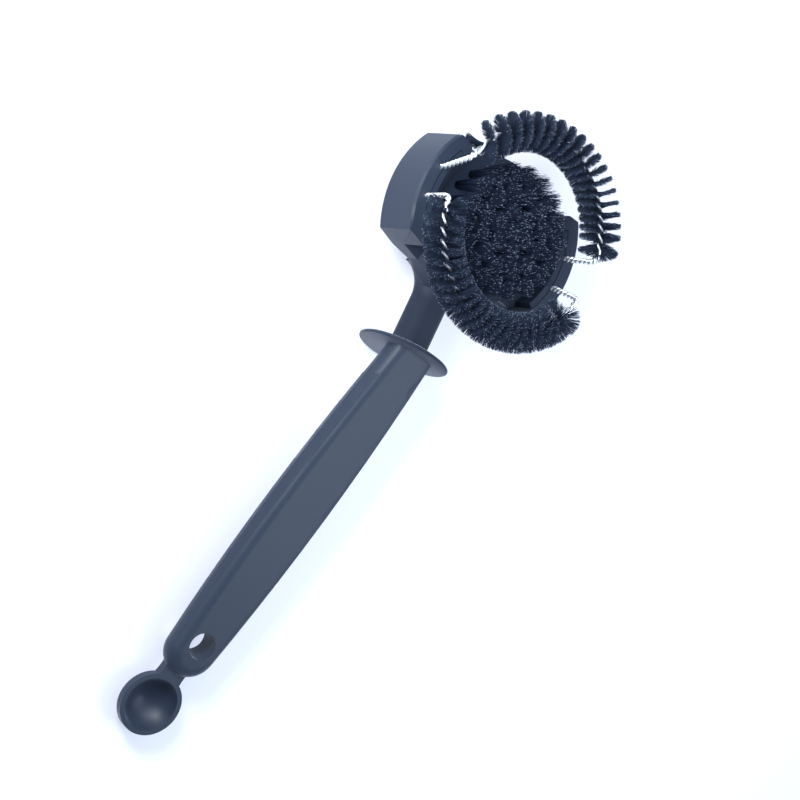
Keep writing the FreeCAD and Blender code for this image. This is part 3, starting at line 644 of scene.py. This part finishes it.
bristle_growth = Growth(
    "double_spiral", Seed=9, Count=BRISTLE_COUNT, Radius=BRISTLE_RADIUS, Reach=BRISTLE_REACH,
    Stray=BRISTLE_STRAYS["near"], Lean=BRISTLE_LEANS["near"], Fan=END_FAN, Ends=END_SHARE,
)
curve, lay = spine_of(bristle_growth)
stations = bristle_growth.add(
    "GeometryNodeResampleCurve", {"Curve": curve, "Count": bristle_growth.size("Count")}
)
tangent = bristle_growth.add("GeometryNodeInputTangent")
across = bristle_growth.add(
    "ShaderNodeVectorMath", {0: tangent, 1: lay}, operation="CROSS_PRODUCT"
)
progress = bristle_growth.add("GeometryNodeSplineParameter")
start_fan = bristle_growth.add("ShaderNodeMapRange", {
    "Value": progress, "From Min": 0.0, "From Max": bristle_growth.size("Ends"),
    "To Min": -1.0, "To Max": 0.0,
})
stop_fan = bristle_growth.add("ShaderNodeMapRange", {
    "Value": progress, "From Min": 1.0 - bristle_growth.size("Ends"), "From Max": 1.0,
    "To Min": 0.0, "To Max": 1.0,
})
fan = (start_fan + stop_fan) * bristle_growth.size("Fan")
rod = filament(
    bristle_growth, bristle_growth.size("Reach"), bristle_growth.size("Radius"),
    BRISTLE_TAPER, BRISTLE_CURL,
)
halves = []
for number, way in enumerate((1.0, -1.0)):
    stray = bristle_growth.stray(bristle_growth.size("Stray"), seed=20 + number)
    lean = fan + bristle_growth.stray(bristle_growth.size("Lean"), seed=30 + number)
    direction = bristle_growth.summed(
        bristle_growth.scaled(across, way),
        bristle_growth.summed(
            bristle_growth.scaled(lay, stray), bristle_growth.scaled(tangent, lean)
        ),
    )
    halves.append(planted(
        bristle_growth, stations, rod, direction, BRISTLE_SHORTFALL, seed=40 + number
    ))
both = bristle_growth.add("GeometryNodeJoinGeometry", {"Geometry": halves})
arc_finish = filament_finish("arc_filament", ARC_BLACK, ARC_GLINT_TIPS, ARC_GLINT_FROM)
bristle_growth.finish(both, arc_finish.material)
for arc_name, (points, directions, first, last) in wires.items():
    bare_left, bare_right = (round(bare / WIRE_STEP) for bare in BARE_ENDS[arc_name])
    held = slice(first + bare_left, last - bare_right)
    bristle_arc = bristle_growth.grow(
        arc_name + "_filaments",
        spine_mesh(arc_name + "_stations", points[held], directions[held]),
        Stray=BRISTLE_STRAYS[arc_name], Lean=BRISTLE_LEANS[arc_name],
    )
    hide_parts(arc_name + "_bristles")
    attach(bristle_arc, "root")

# ---- White sheet ----
# The brush lies on a white sheet. Where it is seen it glows faintly, so that it shows as
# plain white and keeps a soft cool shadow. The light that it throws back is bluer.
SHEET_WHITE = (0.70, 0.68, 0.73)
SHEET_BOUNCE = (0.72, 0.77, 0.90)
SHEET_ROUGHNESS = 0.9
SHEET_GLOW = 0.2
GLOW_COLOUR = (0.85, 0.91, 1.0)
SHEET_HALF = 3.0

sheet_corners = [
    (x * SHEET_HALF, y * SHEET_HALF, 0.0) for x, y in ((-1, -1), (1, -1), (1, 1), (-1, 1))
]
sheet_mesh = bpy.data.meshes.new("white_sheet")
sheet_mesh.from_pydata(sheet_corners, [], [(0, 1, 2, 3)])
sheet = bpy.data.objects.new("white_sheet", sheet_mesh)
bpy.context.collection.objects.link(sheet)
sheet_finish = Finish("white_sheet", SHEET_WHITE, {
    "Roughness": SHEET_ROUGHNESS, "Specular IOR Level": 0.0,
})
seen = (
    sheet_finish.add("ShaderNodeLightPath", output="Is Camera Ray")
    + sheet_finish.add("ShaderNodeLightPath", output="Is Glossy Ray")
    + sheet_finish.add("ShaderNodeLightPath", output="Is Transmission Ray")
)
sheet_finish.shade({"Base Color": sheet_finish.blend(seen, SHEET_BOUNCE, SHEET_WHITE)})
glow = sheet_finish.add("ShaderNodeEmission", {"Color": (*GLOW_COLOUR, 1.0)})
plain = Field(sheet_finish, sheet_finish.shader.outputs["BSDF"])
mixed = sheet_finish.add("ShaderNodeMixShader", {0: seen * SHEET_GLOW, 1: plain, 2: glow})
sheet_finish.feed(sheet_finish.tree.nodes["Material Output"].inputs["Surface"], mixed)
sheet_finish.dress(sheet)

# ---- Camera ----
# A long lens looks down on the brush from behind its scoop, rolled so that the handle runs
# from the lower left to the upper right.
CAMERA_TURN = Vector((-0.091, 0.664, -0.500))
CAMERA_OFFSET = Vector((23.63, 62.32, -1727.4)) * MM
FOCAL_PIXELS = 4771.0
FRAME_PIXELS = 800.0
SENSOR = 36.0
FARTHEST = 50.0

to_camera = Matrix.Rotation(CAMERA_TURN.length, 3, CAMERA_TURN.normalized())
in_head = to_camera.transposed().to_4x4()
in_head.translation = to_camera.transposed() @ -CAMERA_OFFSET
lens = bpy.data.cameras.new("long_lens")
lens.sensor_width = SENSOR
lens.sensor_fit = "HORIZONTAL"
lens.lens = FOCAL_PIXELS / FRAME_PIXELS * SENSOR
lens.clip_end = FARTHEST
camera = bpy.data.objects.new("long_lens", lens)
bpy.context.collection.objects.link(camera)
camera.matrix_world = HEAD @ in_head
bpy.context.scene.camera = camera

# ---- Light ----
# A soft box from the upper left of the view throws the main shadow. A wide one from the
# upper right throws none, a third lights the grip from the lower right, and a pale room
# lights all of it evenly.
KEY_WAY = Vector((-0.28, 0.28, 0.92))
KEY_POWER = 4.4
KEY_SIZE = 0.18
KEY_DISTANCE = 0.5
KEY_COLOUR = (0.88, 0.94, 1.0)
FRONT_WAY = Vector((0.36, 0.28, 0.89))
FRONT_POWER = 2.0
FRONT_SIZE = 0.34
FRONT_DISTANCE = 0.46
FRONT_COLOUR = (0.86, 0.93, 1.0)
FILL_WAY = Vector((0.72, -0.60, 0.35))
FILL_POWER = 1.0
FILL_SIZE = 0.25
FILL_DISTANCE = 0.35
FILL_COLOUR = (0.78, 0.88, 1.0)
GRIP_BEHIND_HEAD = 60.0 * MM
ROOM_LIGHT = (0.64, 0.79, 1.0)
ROOM_STRENGTH = 0.76


def soft_box(name, target, way, distance, size, power, colour, shadow=True):
    """A square lamp that faces its target, from a way given in the view's own axes."""
    lamp = bpy.data.lights.new(name, "AREA")
    lamp.energy = power
    lamp.size = size
    lamp.color = colour
    lamp.use_shadow = shadow
    box = bpy.data.objects.new(name, lamp)
    bpy.context.collection.objects.link(box)
    place = target + (camera.matrix_world.to_3x3() @ way).normalized() * distance
    aim = (target - place).to_track_quat("-Z", "Y")
    box.matrix_world = Matrix.Translation(place) @ aim.to_matrix().to_4x4()


room = bpy.data.worlds.new("pale_room")
room.use_nodes = True
bpy.context.scene.world = room
room_shader = room.node_tree.nodes["Background"]
room_shader.inputs["Color"].default_value = (*ROOM_LIGHT, 1.0)
room_shader.inputs["Strength"].default_value = ROOM_STRENGTH

drum = HEAD @ Vector((0.0, 0.0, 0.0))
grip = HEAD @ Vector((0.0, -GRIP_BEHIND_HEAD, 0.0))
soft_box("key_box", drum, KEY_WAY, KEY_DISTANCE, KEY_SIZE, KEY_POWER, KEY_COLOUR)
soft_box(
    "front_box", drum, FRONT_WAY, FRONT_DISTANCE, FRONT_SIZE, FRONT_POWER, FRONT_COLOUR,
    shadow=False,
)
soft_box("fill_box", grip, FILL_WAY, FILL_DISTANCE, FILL_SIZE, FILL_POWER, FILL_COLOUR)

bpy.context.scene.view_settings.view_transform = "Standard"
